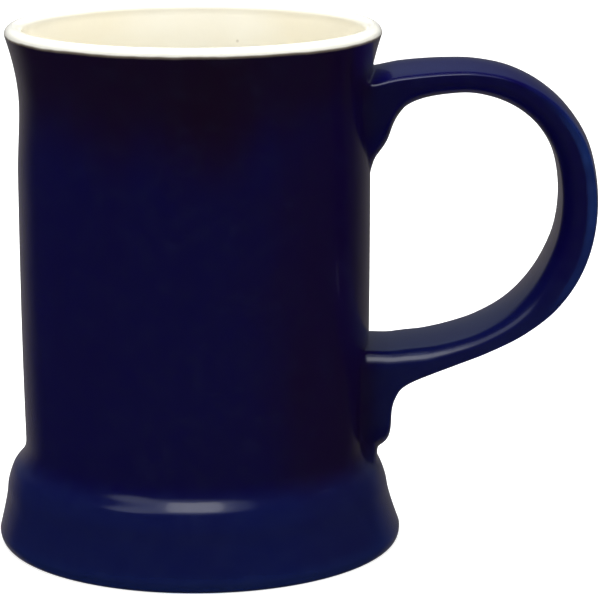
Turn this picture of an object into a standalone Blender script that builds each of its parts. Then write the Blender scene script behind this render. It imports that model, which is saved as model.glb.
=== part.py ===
"""A glazed stoneware beer mug: a turned body with a flared lip and a stepped foot, and a broad strap handle.

Metres, +Z up. The handle reaches towards +X, and the mug rests on its foot ring at height 0.
"""
import math

import bmesh
import bpy
from mathutils import Vector

# Body, outside
MUG_HEIGHT = 0.140
LIP_RADIUS = 0.0499
NECK_RADIUS = 0.0463
NECK_DEPTH = 0.0215
WALL_TOP_RADIUS = 0.0470
WALL_TOP_DEPTH = 0.040
WALL_BOTTOM_RADIUS = 0.0463

# Foot
FOOT_HEIGHT = 0.0270
FOOT_RADIUS = 0.0546
SHOULDER_RADIUS = 0.0504
SHOULDER_HEIGHT = 0.0193
WAIST_RADIUS = 0.0520
WAIST_HEIGHT = 0.0125
TOE_ROUNDING = 0.0028
RING_WIDTH = 0.0070
RING_HEIGHT = 0.0030
RING_ROUNDING = 0.0012

# Body, inside
WALL_THICKNESS = 0.0046
FLOOR_THICKNESS = 0.0070
FLOOR_ROUNDING = 0.0100

# Handle
HANDLE_REACH = 0.0612
HANDLE_WIDTH = 0.0300
HANDLE_THICKNESS = 0.0102
HANDLE_DROP = 0.0135
HANDLE_RISE = 0.0235
OUTER_DOME = 0.0034
INNER_DOME = 0.0009
OUTER_CORNER = 0.0015
INNER_CORNER = 0.0040
UPPER_TAIL = 0.0162
LOWER_TAIL = 0.0206
TAIL_CORNER = 0.0085

# How the lip opens: the share of the flare grows with this power of the height
LIP_FLARE_POWER = 1.8

# How the wall draws in towards the foot: slowly at first, with this power of the distance down it
WALL_TAPER_POWER = 3.0

# How the foot swells from the wall to its shoulder, as shares of the way out and of the way down
SHOULDER_SWELL = ((0.10, 0.27), (0.36, 0.55), (0.78, 0.80))

# How far out the foot has come halfway down to its waist, and halfway down to its toe
WAIST_BULGE_SHARE = 0.70
TOE_BULGE_SHARE = 0.45

# A corner of the strap takes up at most this share of its thickness and of its width
CORNER_SHARE = 0.45

# The depth of the handle's ends in the wall, as a share of the wall
ROOT_EMBED = 0.6

# The strap is drawn narrower, and its outer face flatter, from its roots to the grip: how much of each is lost
# there, and the powers of the distance out of the wall by which it goes above the grip and below it.
GRIP_NARROWING = 0.19
GRIP_FLATTENING = 0.62
UPPER_DRAW_POWER = 0.6
LOWER_DRAW_POWER = 6.0

# Cuts across the handle from its upper root to its lower one. Each has its middle's distance out of the wall
# and its height, both as shares of the handle, the cut's lean from upright in degrees, the strap's thickness
# as a share of the thickest, and how much of the root's tail hangs from it.
HANDLE_CUTS = (
    (0.022, 0.974, 0, 0.80, 1.00),
    (0.062, 0.980, 1, 0.80, 0.86),
    (0.095, 0.985, 1, 0.80, 0.72),
    (0.125, 0.990, 2, 0.80, 0.42),
    (0.170, 0.994, 2, 0.80, 0.19),
    (0.245, 0.998, 0, 0.81, 0.06),
    (0.362, 1.002, 0, 0.81, 0.00),
    (0.496, 1.002, 7, 0.77, 0.00),
    (0.640, 0.978, 19, 0.80, 0.00),
    (0.770, 0.928, 35, 0.83, 0.00),
    (0.881, 0.851, 52, 0.87, 0.00),
    (0.964, 0.743, 70, 0.93, 0.00),
    (1.000, 0.598, 86, 0.97, 0.00),
    (0.987, 0.454, 100, 1.00, 0.00),
    (0.930, 0.332, 116, 1.00, 0.00),
    (0.832, 0.223, 132, 0.91, 0.00),
    (0.698, 0.135, 145, 0.76, 0.00),
    (0.545, 0.073, 155, 0.69, 0.00),
    (0.403, 0.034, 162, 0.73, 0.00),
    (0.280, 0.009, 167, 0.80, 0.02),
    (0.180, -0.001, 173, 0.82, 0.10),
    (0.128, -0.006, 176, 0.82, 0.20),
    (0.095, -0.009, 177, 0.82, 0.38),
    (0.071, -0.007, 174, 0.82, 0.66),
    (0.049, -0.002, 173, 0.82, 0.87),
    (0.022, 0.002, 174, 0.82, 1.00),
)

# Fineness of the faceted shape
TURN_STEPS = 64
RIM_STEPS = 6
ROUND_STEPS = 3
CURVE_STEPS = 2
CUT_STEPS = 2
CORNER_STEPS = 3
FACE_STEPS = 4
SIDE_STEPS = 2
MERGE_DISTANCE = 0.00002
SHARP_ANGLE = math.radians(50)

# Glaze colour, seen from outside
COBALT = (0.006, 0.006, 0.040, 1.0)
GLAZE_ROUGHNESS = 0.14


def clear_scene():
    for thing in list(bpy.data.objects):
        bpy.data.objects.remove(thing, do_unlink=True)


def new_collection(name):
    collection = bpy.data.collections.new(name)
    bpy.context.scene.collection.children.link(collection)
    return collection


def new_object(name, mesh, collection):
    thing = bpy.data.objects.new(name, mesh)
    collection.objects.link(thing)
    return thing


def glaze_material():
    material = bpy.data.materials.new("cobalt glaze")
    material.use_nodes = True
    shader = material.node_tree.nodes["Principled BSDF"]
    shader.inputs["Base Color"].default_value = COBALT
    shader.inputs["Roughness"].default_value = GLAZE_ROUGHNESS
    shader.inputs["Metallic"].default_value = 0.0
    return material


def arc(centre, radii, start, end, steps):
    """Points of an ellipse about centre, with radii out and up, from one angle to another in degrees."""
    points = []
    for step in range(steps + 1):
        angle = math.radians(start + (end - start) * step / steps)
        points.append((centre[0] + radii[0] * math.cos(angle), centre[1] + radii[1] * math.sin(angle)))
    return points


def smooth_curve(points, steps):
    """A curve through all the points, of any number of values each, with some steps between each two."""
    first = tuple(2 * a - b for a, b in zip(points[0], points[1]))
    last = tuple(2 * a - b for a, b in zip(points[-1], points[-2]))
    padded = [first, *points, last]
    curve = []
    for index in range(1, len(padded) - 2):
        before, start, end, after = padded[index - 1:index + 3]
        for step in range(steps):
            t = step / steps
            curve.append(tuple(spline_value(t, *values) for values in zip(before, start, end, after)))
    curve.append(tuple(points[-1]))
    return curve


def spline_value(t, before, start, end, after):
    slope = (end - before) * t
    bend = (2 * before - 5 * start + 4 * end - after) * t ** 2
    twist = (3 * start - before - 3 * end + after) * t ** 3
    return (2 * start + slope + bend + twist) / 2


def eased(low, high, share):
    """A value that leaves low and reaches high with no slope."""
    return low + (high - low) * share * share * (3 - 2 * share)


def lip_outline():
    """The half-round rim and the flare under it, from the inside of the rim down to the neck."""
    half = WALL_THICKNESS / 2
    widest = MUG_HEIGHT - half
    neck = MUG_HEIGHT - NECK_DEPTH
    points = arc((LIP_RADIUS - half, widest), (half, half), 180, 0, RIM_STEPS)
    flare_steps = 2 * CURVE_STEPS
    for step in range(1, flare_steps + 1):
        share = 1 - step / flare_steps
        radius = NECK_RADIUS + (LIP_RADIUS - NECK_RADIUS) * share ** LIP_FLARE_POWER
        points.append((radius, neck + (widest - neck) * share))
    return points


def wall_outline():
    """The wall from below the neck to the top of the foot."""
    neck = MUG_HEIGHT - NECK_DEPTH
    wall_top = MUG_HEIGHT - WALL_TOP_DEPTH
    points = []
    for step in range(1, CURVE_STEPS + 1):
        share = step / CURVE_STEPS
        points.append((eased(NECK_RADIUS, WALL_TOP_RADIUS, share), neck + (wall_top - neck) * share))
    for step in range(1, CURVE_STEPS + 1):
        share = step / CURVE_STEPS
        radius = WALL_TOP_RADIUS + (WALL_BOTTOM_RADIUS - WALL_TOP_RADIUS) * share ** WALL_TAPER_POWER
        points.append((radius, wall_top + (FOOT_HEIGHT - wall_top) * share))
    return points


def foot_outline():
    """The foot's rounded shoulder, waist and toe, from the wall down to the resting face."""
    step_out = SHOULDER_RADIUS - WALL_BOTTOM_RADIUS
    step_down = FOOT_HEIGHT - SHOULDER_HEIGHT
    below_shoulder = SHOULDER_RADIUS + WAIST_BULGE_SHARE * (WAIST_RADIUS - SHOULDER_RADIUS)
    below_waist = WAIST_RADIUS + TOE_BULGE_SHARE * (FOOT_RADIUS - WAIST_RADIUS)
    knots = [(WALL_BOTTOM_RADIUS, FOOT_HEIGHT)]
    for out, down in SHOULDER_SWELL:
        knots.append((WALL_BOTTOM_RADIUS + out * step_out, FOOT_HEIGHT - down * step_down))
    knots += [
        (SHOULDER_RADIUS, SHOULDER_HEIGHT),
        (below_shoulder, (SHOULDER_HEIGHT + WAIST_HEIGHT) / 2),
        (WAIST_RADIUS, WAIST_HEIGHT),
        (below_waist, (WAIST_HEIGHT + TOE_ROUNDING) / 2),
        (FOOT_RADIUS, TOE_ROUNDING),
    ]
    toe = arc((FOOT_RADIUS - TOE_ROUNDING / 2, TOE_ROUNDING), (TOE_ROUNDING / 2, TOE_ROUNDING), 0, -90, ROUND_STEPS)
    return smooth_curve(knots, CURVE_STEPS)[1:] + toe[1:]


def outside_outline():
    """The outside from the inner edge of the rim down to the resting face."""
    return lip_outline() + wall_outline() + foot_outline()


def underside_outline():
    """The foot ring's resting face and the shallow recess inside it, ending on the axis."""
    ring_outer = FOOT_RADIUS - TOE_ROUNDING / 2
    ring_inner = ring_outer - RING_WIDTH
    round_down = arc((ring_inner, RING_ROUNDING), (RING_ROUNDING, RING_ROUNDING), -90, -180, CURVE_STEPS)
    recess_edge = (ring_inner - 2 * RING_ROUNDING, RING_HEIGHT)
    return round_down + [recess_edge, (0.0, RING_HEIGHT)]


def inside_outline():
    """The inside from the middle of the floor up to the rim."""
    half = WALL_THICKNESS / 2
    floor = RING_HEIGHT + FLOOR_THICKNESS
    neck = MUG_HEIGHT - NECK_DEPTH
    bottom_radius = WALL_BOTTOM_RADIUS - WALL_THICKNESS
    neck_radius = NECK_RADIUS - WALL_THICKNESS
    mouth_radius = LIP_RADIUS - WALL_THICKNESS
    corner_centre = (bottom_radius - FLOOR_ROUNDING, floor + FLOOR_ROUNDING)
    points = [(0.0, floor)]
    points += arc(corner_centre, (FLOOR_ROUNDING, FLOOR_ROUNDING), -90, 0, 2 * ROUND_STEPS)
    points.append((WALL_TOP_RADIUS - WALL_THICKNESS, MUG_HEIGHT - WALL_TOP_DEPTH))
    for step in range(CURVE_STEPS * 2):
        share = step / (CURVE_STEPS * 2)
        radius = neck_radius + (mouth_radius - neck_radius) * share ** LIP_FLARE_POWER
        points.append((radius, neck + (MUG_HEIGHT - half - neck) * share))
    return points


def turned_body(collection, material):
    """The body as one closed profile turned about the mug's axis."""
    profile = inside_outline() + outside_outline() + underside_outline()
    mesh = bpy.data.meshes.new("mug")
    vertices = [(radius, 0.0, height) for radius, height in profile]
    edges = [(index, index + 1) for index in range(len(vertices) - 1)]
    mesh.from_pydata(vertices, edges, [])
    mesh.materials.append(material)
    body = new_object("mug", mesh, collection)
    turn = body.modifiers.new("turn", "SCREW")
    turn.axis = "Z"
    turn.angle = math.tau
    turn.steps = TURN_STEPS
    turn.render_steps = TURN_STEPS
    turn.use_merge_vertices = True
    turn.merge_threshold = MERGE_DISTANCE
    return body


def wall_radius(height):
    """The outside radius of the body at a height."""
    outline = outside_outline()[RIM_STEPS:]
    for (upper_radius, upper), (lower_radius, lower) in zip(outline, outline[1:]):
        if lower <= height <= upper:
            share = (height - lower) / (upper - lower)
            return lower_radius + (upper_radius - lower_radius) * share
    return LIP_RADIUS if height > MUG_HEIGHT / 2 else FOOT_RADIUS


def placed_cut(cut, tail_length):
    """A cut in metres: the strap's outer and inner points with its tail, the tail's share, width and dome."""
    out, up, lean, thickness, tail = cut
    wall = WALL_TOP_RADIUS + (NECK_RADIUS - WALL_TOP_RADIUS) * up
    low = FOOT_HEIGHT + HANDLE_RISE
    high = MUG_HEIGHT - HANDLE_DROP
    middle = Vector((wall + out * (HANDLE_REACH - HANDLE_THICKNESS / 2), low + up * (high - low)))
    across = Vector((math.sin(math.radians(lean)), math.cos(math.radians(lean))))
    half = HANDLE_THICKNESS * thickness / 2
    outer = middle + across * half
    inner = middle - across * half
    if up > 0.5:
        drawn = out ** UPPER_DRAW_POWER
        flattened = drawn
        inner = inner - across * tail_length * tail
    else:
        drawn = out ** LOWER_DRAW_POWER
        flattened = 1.0
        outer = outer + across * tail_length * tail
    width = HANDLE_WIDTH * (1 - GRIP_NARROWING * drawn)
    dome = OUTER_DOME * (1 - GRIP_FLATTENING * flattened)
    return (*outer, *inner, tail, width, dome)


def section(width, depth, dome, outer_corner, inner_corner):
    """A cut's outline as (sideways, outwards) points: a rounded box with domed faces."""
    half_width = width / 2
    half_depth = depth / 2
    corners = ((1, 1, outer_corner), (-1, 1, outer_corner), (-1, -1, inner_corner), (1, -1, inner_corner))
    arcs = []
    for index, (side, face, corner) in enumerate(corners):
        centre = (side * (half_width - corner), face * (half_depth - corner))
        arcs.append(arc(centre, (corner, corner), 90 * index, 90 * index + 90, CORNER_STEPS))
    outline = []
    for index, points in enumerate(arcs):
        following = arcs[(index + 1) % len(arcs)]
        steps = FACE_STEPS if index % 2 == 0 else SIDE_STEPS
        outline += points
        for step in range(1, steps):
            share = step / steps
            outline.append(tuple(a + (b - a) * share for a, b in zip(points[-1], following[0])))
    domed = []
    for side, out in outline:
        drop = dome if out > 0 else INNER_DOME
        domed.append((side, out * (1 - drop / half_depth * (side / half_width) ** 2)))
    return domed


def strap_section(width, depth, dome, tail, upper):
    """The section with a rounder corner on the side where the tail hangs."""
    limit = CORNER_SHARE * min(width, depth)
    outer_tail, inner_tail = (0.0, tail) if upper else (tail, 0.0)
    outer_corner = min(OUTER_CORNER + (TAIL_CORNER - OUTER_CORNER) * outer_tail, limit)
    inner_corner = min(INNER_CORNER + (TAIL_CORNER - INNER_CORNER) * inner_tail, limit)
    return section(width, depth, dome, outer_corner, inner_corner)


def handle_rings():
    """The loft's rings, each a list of points around one cut."""
    middle = len(HANDLE_CUTS) // 2
    cuts = [placed_cut(cut, UPPER_TAIL if index < middle else LOWER_TAIL) for index, cut in enumerate(HANDLE_CUTS)]
    curve = smooth_curve(cuts, CUT_STEPS)
    rings = []
    for index, (outer_x, outer_z, inner_x, inner_z, tail, width, dome) in enumerate(curve):
        outer = Vector((outer_x, outer_z))
        inner = Vector((inner_x, inner_z))
        centre = (outer + inner) / 2
        across = (outer - inner).normalized()
        upper = index < len(curve) / 2
        ring = []
        for side, out in strap_section(width, (outer - inner).length, dome, max(tail, 0.0), upper):
            point = centre + across * out
            ring.append(Vector((point.x, side, point.y)))
        rings.append(ring)
    return [root_ring(rings[0])] + rings + [root_ring(rings[-1])]


def root_ring(ring):
    """A ring carried straight into the wall, to the same depth all round."""
    inside = []
    for point in ring:
        radius = wall_radius(point.z) - ROOT_EMBED * WALL_THICKNESS
        inside.append(Vector((math.sqrt(radius ** 2 - point.y ** 2), point.y, point.z)))
    return inside


def handle_form(collection):
    """The handle as a loft between its cuts, kept as a guide for the union."""
    shape = bmesh.new()
    rings = [[shape.verts.new(point) for point in ring] for ring in handle_rings()]
    for ring, following in zip(rings, rings[1:]):
        for index, vertex in enumerate(ring):
            after = (index + 1) % len(ring)
            shape.faces.new((vertex, ring[after], following[after], following[index]))
    shape.faces.new(rings[0])
    shape.faces.new(rings[-1])
    bmesh.ops.recalc_face_normals(shape, faces=shape.faces)
    mesh = bpy.data.meshes.new("handle form")
    shape.to_mesh(mesh)
    shape.free()
    form = new_object("handle form", mesh, collection)
    form.hide_render = True
    form.display_type = "WIRE"
    return form


def join_handle(body, form):
    """The handle is luted to the wall, so the body and the handle are one solid."""
    union = body.modifiers.new("handle", "BOOLEAN")
    union.operation = "UNION"
    union.solver = "EXACT"
    union.object = form


def shade(body):
    body.data.shade_smooth()
    body.data.set_sharp_from_angle(angle=SHARP_ANGLE)


def centre_on_origin(body, form):
    """Moves the mug so that the middle of its outer box is over the origin, its handle with it."""
    bpy.context.view_layer.update()
    shape = body.evaluated_get(bpy.context.evaluated_depsgraph_get()).to_mesh()
    sides = [vertex.co.x for vertex in shape.vertices]
    axis = -(min(sides) + max(sides)) / 2
    body.location.x = axis
    form.location.x = axis


def build_mug():
    clear_scene()
    mug_parts = new_collection("beer mug")
    guides = new_collection("guides")
    body = turned_body(mug_parts, glaze_material())
    form = handle_form(guides)
    join_handle(body, form)
    shade(body)
    centre_on_origin(body, form)


build_mug()
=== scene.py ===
"""A glazed stoneware beer mug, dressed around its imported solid, with its stage.

Laid out as an add-on and run as a script. Metres, +Z up, the handle reaches towards +X.
"""

import math

import bmesh
import bpy
from bpy.props import FloatProperty, FloatVectorProperty, IntProperty, PointerProperty
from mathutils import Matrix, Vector, geometry


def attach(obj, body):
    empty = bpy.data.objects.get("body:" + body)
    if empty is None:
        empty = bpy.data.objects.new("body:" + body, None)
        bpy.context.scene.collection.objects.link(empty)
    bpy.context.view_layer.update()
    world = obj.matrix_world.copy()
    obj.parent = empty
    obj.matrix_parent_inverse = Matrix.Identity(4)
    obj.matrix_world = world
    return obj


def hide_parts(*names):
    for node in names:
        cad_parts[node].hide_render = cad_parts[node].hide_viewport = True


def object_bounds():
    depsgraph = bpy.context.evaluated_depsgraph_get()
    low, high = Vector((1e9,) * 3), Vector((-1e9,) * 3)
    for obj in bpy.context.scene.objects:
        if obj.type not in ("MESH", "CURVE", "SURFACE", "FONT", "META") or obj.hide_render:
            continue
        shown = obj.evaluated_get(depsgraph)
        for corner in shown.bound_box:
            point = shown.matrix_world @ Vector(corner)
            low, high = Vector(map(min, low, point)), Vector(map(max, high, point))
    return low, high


bl_info = {
    "name": "Beer Mug",
    "version": (1, 0, 0),
    "blender": (4, 5, 0),
    "location": "3D View > Sidebar > Beer Mug",
    "description": "Makes a glazed stoneware beer mug with a strap handle",
    "category": "Object",
}

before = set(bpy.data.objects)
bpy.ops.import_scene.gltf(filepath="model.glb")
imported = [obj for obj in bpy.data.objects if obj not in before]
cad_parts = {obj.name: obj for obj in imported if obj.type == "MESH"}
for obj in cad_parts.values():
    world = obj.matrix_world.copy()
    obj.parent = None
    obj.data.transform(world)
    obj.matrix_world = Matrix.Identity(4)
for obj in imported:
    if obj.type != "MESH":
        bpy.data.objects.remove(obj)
CAD_LOW, CAD_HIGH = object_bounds()

# Foot, as in the solid
SHOULDER_SWELL = ((0.10, 0.27), (0.36, 0.55), (0.78, 0.80))
WAIST_BULGE_SHARE = 0.70
TOE_BULGE_SHARE = 0.45
RING_ROUNDING = 0.0012

# Powers by which the lip opens and the wall draws in
LIP_FLARE_POWER = 1.8
WALL_TAPER_POWER = 3.0

# Handle: corners of the strap and of the tails, and how far the strap's faces bulge
OUTER_DOME = 0.0034
INNER_DOME = 0.0009
OUTER_CORNER = 0.0015
INNER_CORNER = 0.0040
TAIL_CORNER = 0.0085
CORNER_SHARE = 0.45

# How much of its width, and of its outer dome, the strap loses from its roots to the grip, and by which
# powers of the distance out of the wall, above the grip and below it
GRIP_NARROWING = 0.19
GRIP_FLATTENING = 0.62
UPPER_DRAW_POWER = 0.6
LOWER_DRAW_POWER = 6.0

# Cuts across the handle from its upper root to its lower one: distance out of the wall and height as shares
# of the handle, lean from upright in degrees, thickness as a share of the thickest, and share of the tail.
# A program that fitted the strap to the photo's edges printed these rows, as in the solid. The last three
# were then changed, so that the lower arm runs straight into the wall.
HANDLE_CUTS = (
    (0.022, 0.974, 0, 0.80, 1.00),
    (0.062, 0.980, 1, 0.80, 0.86),
    (0.095, 0.985, 1, 0.80, 0.72),
    (0.125, 0.990, 2, 0.80, 0.42),
    (0.170, 0.994, 2, 0.80, 0.19),
    (0.245, 0.998, 0, 0.81, 0.06),
    (0.362, 1.002, 0, 0.81, 0.00),
    (0.496, 1.002, 7, 0.77, 0.00),
    (0.640, 0.978, 19, 0.80, 0.00),
    (0.770, 0.928, 35, 0.83, 0.00),
    (0.881, 0.851, 52, 0.87, 0.00),
    (0.964, 0.743, 70, 0.93, 0.00),
    (1.000, 0.598, 86, 0.97, 0.00),
    (0.987, 0.454, 100, 1.00, 0.00),
    (0.930, 0.332, 116, 1.00, 0.00),
    (0.832, 0.223, 132, 0.91, 0.00),
    (0.698, 0.135, 145, 0.76, 0.00),
    (0.545, 0.073, 155, 0.69, 0.00),
    (0.403, 0.034, 162, 0.73, 0.00),
    (0.280, 0.009, 167, 0.80, 0.02),
    (0.180, -0.001, 173, 0.82, 0.10),
    (0.128, -0.006, 176, 0.82, 0.20),
    (0.095, -0.009, 177, 0.82, 0.38),
    (0.071, -0.008, 174, 0.81, 0.66),
    (0.049, -0.005, 173, 0.77, 0.87),
    (0.022, -0.003, 174, 0.75, 1.00),
)

# How much narrower the end of a tail is, the upper and the lower one
TAIL_NARROWING = (0.35, 0.12)
# How much thicker than the solid the strap is on its inner side, where the glaze gathers
INNER_SWELL = 0.0004

# How far the strap's inner corners bulge past a straight bevel, as a share of a round corner's bulge
WIPED_ROUNDNESS = 0.6

# The clay drawn out along the wall where the handle meets it, for the upper and the lower root: above it, at
# its upper corners, beside it and under its tail; then how far it is drawn up the handle, and how full it is
FILLET_ABOVE = (0.0012, 0.0002)
FILLET_CORNER = (0.0014, 0.0)
FILLET_BESIDE = (0.0010, 0.0010)
FILLET_UNDER = (0.0038, 0.0066)
FILLET_LEAN_SHARE = 0.55
FILLET_LEAN_BESIDE = 0.0020
FILLET_HUG_BESIDE = 0.55
FILLET_HUG_UNDER = 0.25
# How far inwards the wall's slope under a fillet is taken, as a share of the fillet's size
SLOPE_SHARE = 0.05

# Fineness of the mesh
RIM_STEPS = 16
FLARE_STEPS = 16
EASE_STEPS = 11
WALL_STEPS = 42
KNOT_STEPS = 6
TOE_STEPS = 8
RING_STEPS = 3
RECESS_STEPS = 12
FLOOR_STEPS = 14
FLOOR_ROUND_STEPS = 12
INSIDE_STEPS = 40
CUT_STEPS = 6
CORNER_STEPS = 8
FACE_STEPS = 14
SIDE_STEPS = 10
FILLET_STEPS = 7
ROOT_STEPS = 12
ROOT_CUTS = 4
SMOOTH_PASSES = 3
MERGE_DISTANCE = 0.00001

# The window in the wall, left open for the clay of the handle's roots
WINDOW_MARGIN = 0.0030
ROOT_BORDERS = (0.00015, 0.0007)
CLEAR_OF_ROOT = 0.0013

# The flat window is meshed at this scale, with this tolerance
FLAT_SCALE = 1000.0
FLAT_TOLERANCE = 1e-5

# Where the glaze thins beside the strap's outer corners and a reflection is painted on their rounding, and
# how far that reaches
THIN_AND_SHEEN_PLACE = 0.0013
THIN_AND_SHEEN_REACH = 0.0030

# Values of the coat attribute, which says what covers the surface, and the share of one that still counts
CREAM = 1.0
COBALT = 0.0
BARE = -1.0
COAT_LIMIT = 0.6

# The waves of the fired surface
SAG_SCALE = 26.0
SAG_SEED = 3.0

# In all looks below, a range has two values and maybe the shares that it gives there, and a noise has its
# scale, its detail and maybe its roughness. Where a range lies in space, it is in metres from foot or axis.

# The skin that the glazes share
SWELL_NOISE = (60.0, 1.0)
PEEL_NOISE = (700.0, 1.0)
PEEL_SHARE = 0.05
MOTTLE_NOISE = (240.0, 4.0, 0.6)
PINHOLE_SCALE = 90.0
PINHOLE_RANGE = (0.02, 0.05, 1.0, 0.0)
PINHOLE_DEPTH = 0.2
RIPPLE_DISTANCE = 0.001

# Cobalt glaze: plum in clouds up the neck and towards the handle, thin on the foot and along the grip. Its
# bright blue also paints a reflection low on the foot and along the grip's corners, and paints light on the
# lower arm
COBALT_RIPPLE = 0.25
COBALT_PINHOLES = 0.004
CLOUD_STRETCH = (1.0, 1.0, 0.35)
CLOUD_NOISE = (34.0, 3.0, 0.55)
CLOUD_DRIFT = 0.030
CLOUD_PLUM = 0.6
NECK_PLUM = (0.100, 0.128, 0.0, 0.75)
SIDE_PLUM = (0.012, 0.034, 0.0, 0.5)
BODY_ONLY = (0.044, 0.050, 1.0, 0.0)
FOOT_PLUM = 0.4
FOOT_THINNESS = 0.20
# Painted reflection: a lighter band of bright cobalt low on the foot, between these heights
TOE_PAINTED_REFLECTION = (0.006, 0.001, 0.0, 0.25)
# Thin glaze with a painted reflection along the grip's outer corners, in patches, fuller on the grip
CORNER_THINNESS_AND_SHEEN = (0.05, 0.8)
GRIP_OUTWARDS = (0.084, 0.103, 0.1, 1.0)
GRIP_BOTTOM = (0.064, 0.086)
GRIP_TOP = (0.122, 0.104, 0.0, 1.0)
OFF_GRIP_THINNESS_AND_SHEEN = 0.2
PATCH_NOISE = (60.0, 2.0)
PATCH_THINNESS_AND_SHEEN = (0.35, 0.6, 0.5, 1.1)
# Painted light: the lower arm lightened with bright cobalt
LIT_ARM_OUTWARDS = (0.046, 0.054, 0.0, 0.16)
LIT_ARM_DOWNWARDS = (0.085, 0.055)
MOTTLE_THINNESS = (0.3, 0.8, -0.03, 0.05)
COBALT_SHINE = (0.3, 0.8, 0.17, 0.25)
COBALT_COAT = 0.6
GLAZE_IOR = 1.5

# Where the cobalt breaks at the rim: how deep, how far it wanders, and its brown and cream bands about that
BREAK_DEPTH = 0.0020
BREAK_NOISE = (90.0, 2.0)
BREAK_WANDER = 0.0008
BROWN_BAND = (-0.0009, -0.0002)
CREAM_BAND = (-0.0003, 0.0002)
BROWN = (0.16, 0.13, 0.10)

# Cream glaze: warmer in clouds, with painted shade, darker and warmer, on the inside's two sides below the
# rim, and one speck
CREAM_RIPPLE = 0.2
CREAM_PINHOLES = 0.02
CREAM_NOISE = (35.0, 3.0)
CREAM_CLOUD = (0.3, 0.75, 0.0, 0.5)
# Painted shade: the cream darker and warmer on the inside's two sides, below the rim
SHADED_SIDES = (0.010, 0.034, 0.0, 0.9)
SHADE_DEPTHS = (0.0006, 0.0030)
WARM_AND_SHADE_SHARES = (0.95, 0.91, 0.82)
SPECK_PLACE = (0.0107, 0.0417, 0.1297)
SPECK_RANGE = (0.0006, 0.0002, 0.0, 0.3)
SPECK_COLOUR = (0.20, 0.15, 0.10)
PINHOLE_SHARE = 0.7
CREAM_SHINE = (0.3, 0.8, 0.18, 0.28)
CREAM_COAT = 0.4

# Bare clay
GRAIN_NOISE = (900.0, 4.0, 0.7)
GRAIN_RANGE = (0.55, 0.8, 0.0, 0.5)
GRAIN_COLOUR = (0.75, 0.69, 0.58)
GRAIN_STRENGTH = 0.5
GRAIN_DEPTH = 0.0003
STAIN_NOISE = (70.0, 3.0)
STAIN_RANGE = (0.35, 0.75)
STAIN_SHARE = 0.6
CLAY_ROUGHNESS = 0.85

# Floor of the stage
FLOOR_HALF = 4.0
FLOOR_COLOUR = (0.6, 0.6, 0.6, 1.0)
FLOOR_ROUGHNESS = 0.9
FLOOR_GLOW = 0.8

# What shines in the glaze: a pale back, brighter to the left and higher up, and two soft lights in front,
# each with the way to it, how it fades with the angle, and its colour
BACK_LEFTWARD = (0.4, -0.4, 0.64, 0.98)
BACK_BEHIND = (0.55, 1.0)
BACK_TOP = (0.78, 0.90, 1.0, 0.0)
LOW_TINT = (0.150, 0.139, 0.147)
LEVEL_TINT = (0.098, 0.112, 0.138)
LEVEL_HEIGHTS = (-0.10, 0.20)
HIGH_TINT = (0.215, 0.260, 0.275)
HIGH_HEIGHTS = (0.30, 0.75)
SOFT_LIGHTS = (
    ((-0.05, -0.36, 0.93), (0.85, 0.97), (0.46, 0.52, 0.68)),
    ((-0.50, -0.44, 0.74), (0.95, 0.99), (0.60, 0.66, 0.80)),
)
DARK_ROOM = (0.012, 0.012, 0.012)
DIFFUSE_LIGHT = (0.45, 0.45, 0.45)
WHITE = (1.0, 1.0, 1.0)

# Lamps, in metres and watts
LAMP_TARGET = (-0.02, 0.0, 0.07)
OVERHEAD_PLACE = (0.0, 0.05, 1.2)
OVERHEAD_SIZE = (0.9, 0.9)
OVERHEAD_POWER = 24.0
SOFTBOX_PLACE = (-0.03, -0.42, 0.90)
SOFTBOX_SIZE = (0.42, 0.36)
SOFTBOX_POWER = 0.80

# Camera: focal length and sensor in millimetres, place in metres, and turns in degrees
LENS = 170.6
SENSOR_WIDTH = 36.0
CAMERA_PLACE = (0.0013, -0.7476, 0.2357)
CAMERA_DOWN = 12.794
CAMERA_ASIDE = -0.023


def size_property(name, description, default):
    return FloatProperty(name=name, description=description, default=default, unit="LENGTH")


def colour_property(name, description, default):
    return FloatVectorProperty(
        name=name, description=description, size=3, subtype="COLOR", default=default, min=0.0, max=1.0)


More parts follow.
